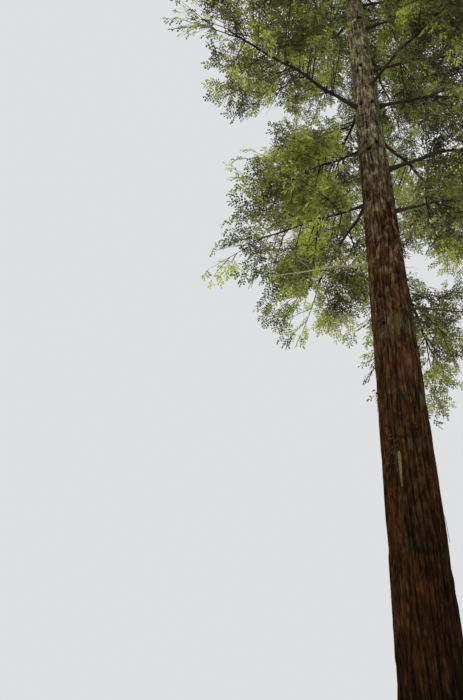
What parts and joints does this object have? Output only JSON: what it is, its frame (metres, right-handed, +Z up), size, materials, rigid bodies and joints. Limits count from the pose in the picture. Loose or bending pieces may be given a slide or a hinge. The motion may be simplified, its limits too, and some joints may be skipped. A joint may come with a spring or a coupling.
{
  "type": "coast redwood tree",
  "caption": "Tall forest-grown coast redwood with a straight furrowed trunk, flared foot, bare lower stem and a narrow crown of flat needle sprays on level boughs.",
  "frame": {"origin": "centre of the flat cut across the foot of the trunk, at ground level", "axes": "+Z up along the trunk, -Y towards the viewer of the picture, +X to the viewer's right"},
  "size_m": [10.9887, 10.2723, 40],
  "materials": {
    "trunk_bark": "deeply furrowed, fibrous, matt",
    "bough_bark": "flaky, matt",
    "needles": "flat sprays, satin"
  },
  "bodies": {
    "root": {"trunk": "trunk_bark", "dead_limb_01": "bough_bark", "dead_limb_02": "bough_bark", "dead_limb_03": "bough_bark", "bough_01": "bough_bark", "bough_02": "bough_bark", "bough_03": "bough_bark", "bough_04": "bough_bark", "bough_05": "bough_bark", "bough_06": "bough_bark", "bough_07": "bough_bark", "bough_08": "bough_bark", "bough_09": "bough_bark", "bough_10": "bough_bark", "bough_11": "bough_bark", "bough_12": "bough_bark", "bough_13": "bough_bark", "bough_14": "bough_bark", "bough_15": "bough_bark", "bough_16": "bough_bark", "bough_17": "bough_bark", "bough_01_sprays": "needles", "bough_02_sprays": "needles", "bough_03_sprays": "needles", "bough_04_sprays": "needles", "bough_05_sprays": "needles", "bough_06_sprays": "needles", "bough_07_sprays": "needles", "bough_08_sprays": "needles", "bough_09_sprays": "needles", "bough_10_sprays": "needles", "bough_11_sprays": "needles", "bough_12_sprays": "needles", "bough_13_sprays": "needles", "bough_14_sprays": "needles", "bough_15_sprays": "needles", "bough_16_sprays": "needles", "bough_17_sprays": "needles", "upper_01_sprays": "needles", "upper_02_sprays": "needles", "upper_03_sprays": "needles", "upper_04_sprays": "needles", "upper_05_sprays": "needles", "upper_06_sprays": "needles", "upper_07_sprays": "needles", "upper_08_sprays": "needles", "upper_09_sprays": "needles", "upper_10_sprays": "needles", "upper_11_sprays": "needles", "upper_12_sprays": "needles", "upper_13_sprays": "needles", "upper_14_sprays": "needles", "upper_15_sprays": "needles", "upper_16_sprays": "needles", "upper_17_sprays": "needles", "upper_18_sprays": "needles", "upper_19_sprays": "needles", "upper_20_sprays": "needles", "upper_21_sprays": "needles", "upper_22_sprays": "needles"}
  },
  "joints": []
}
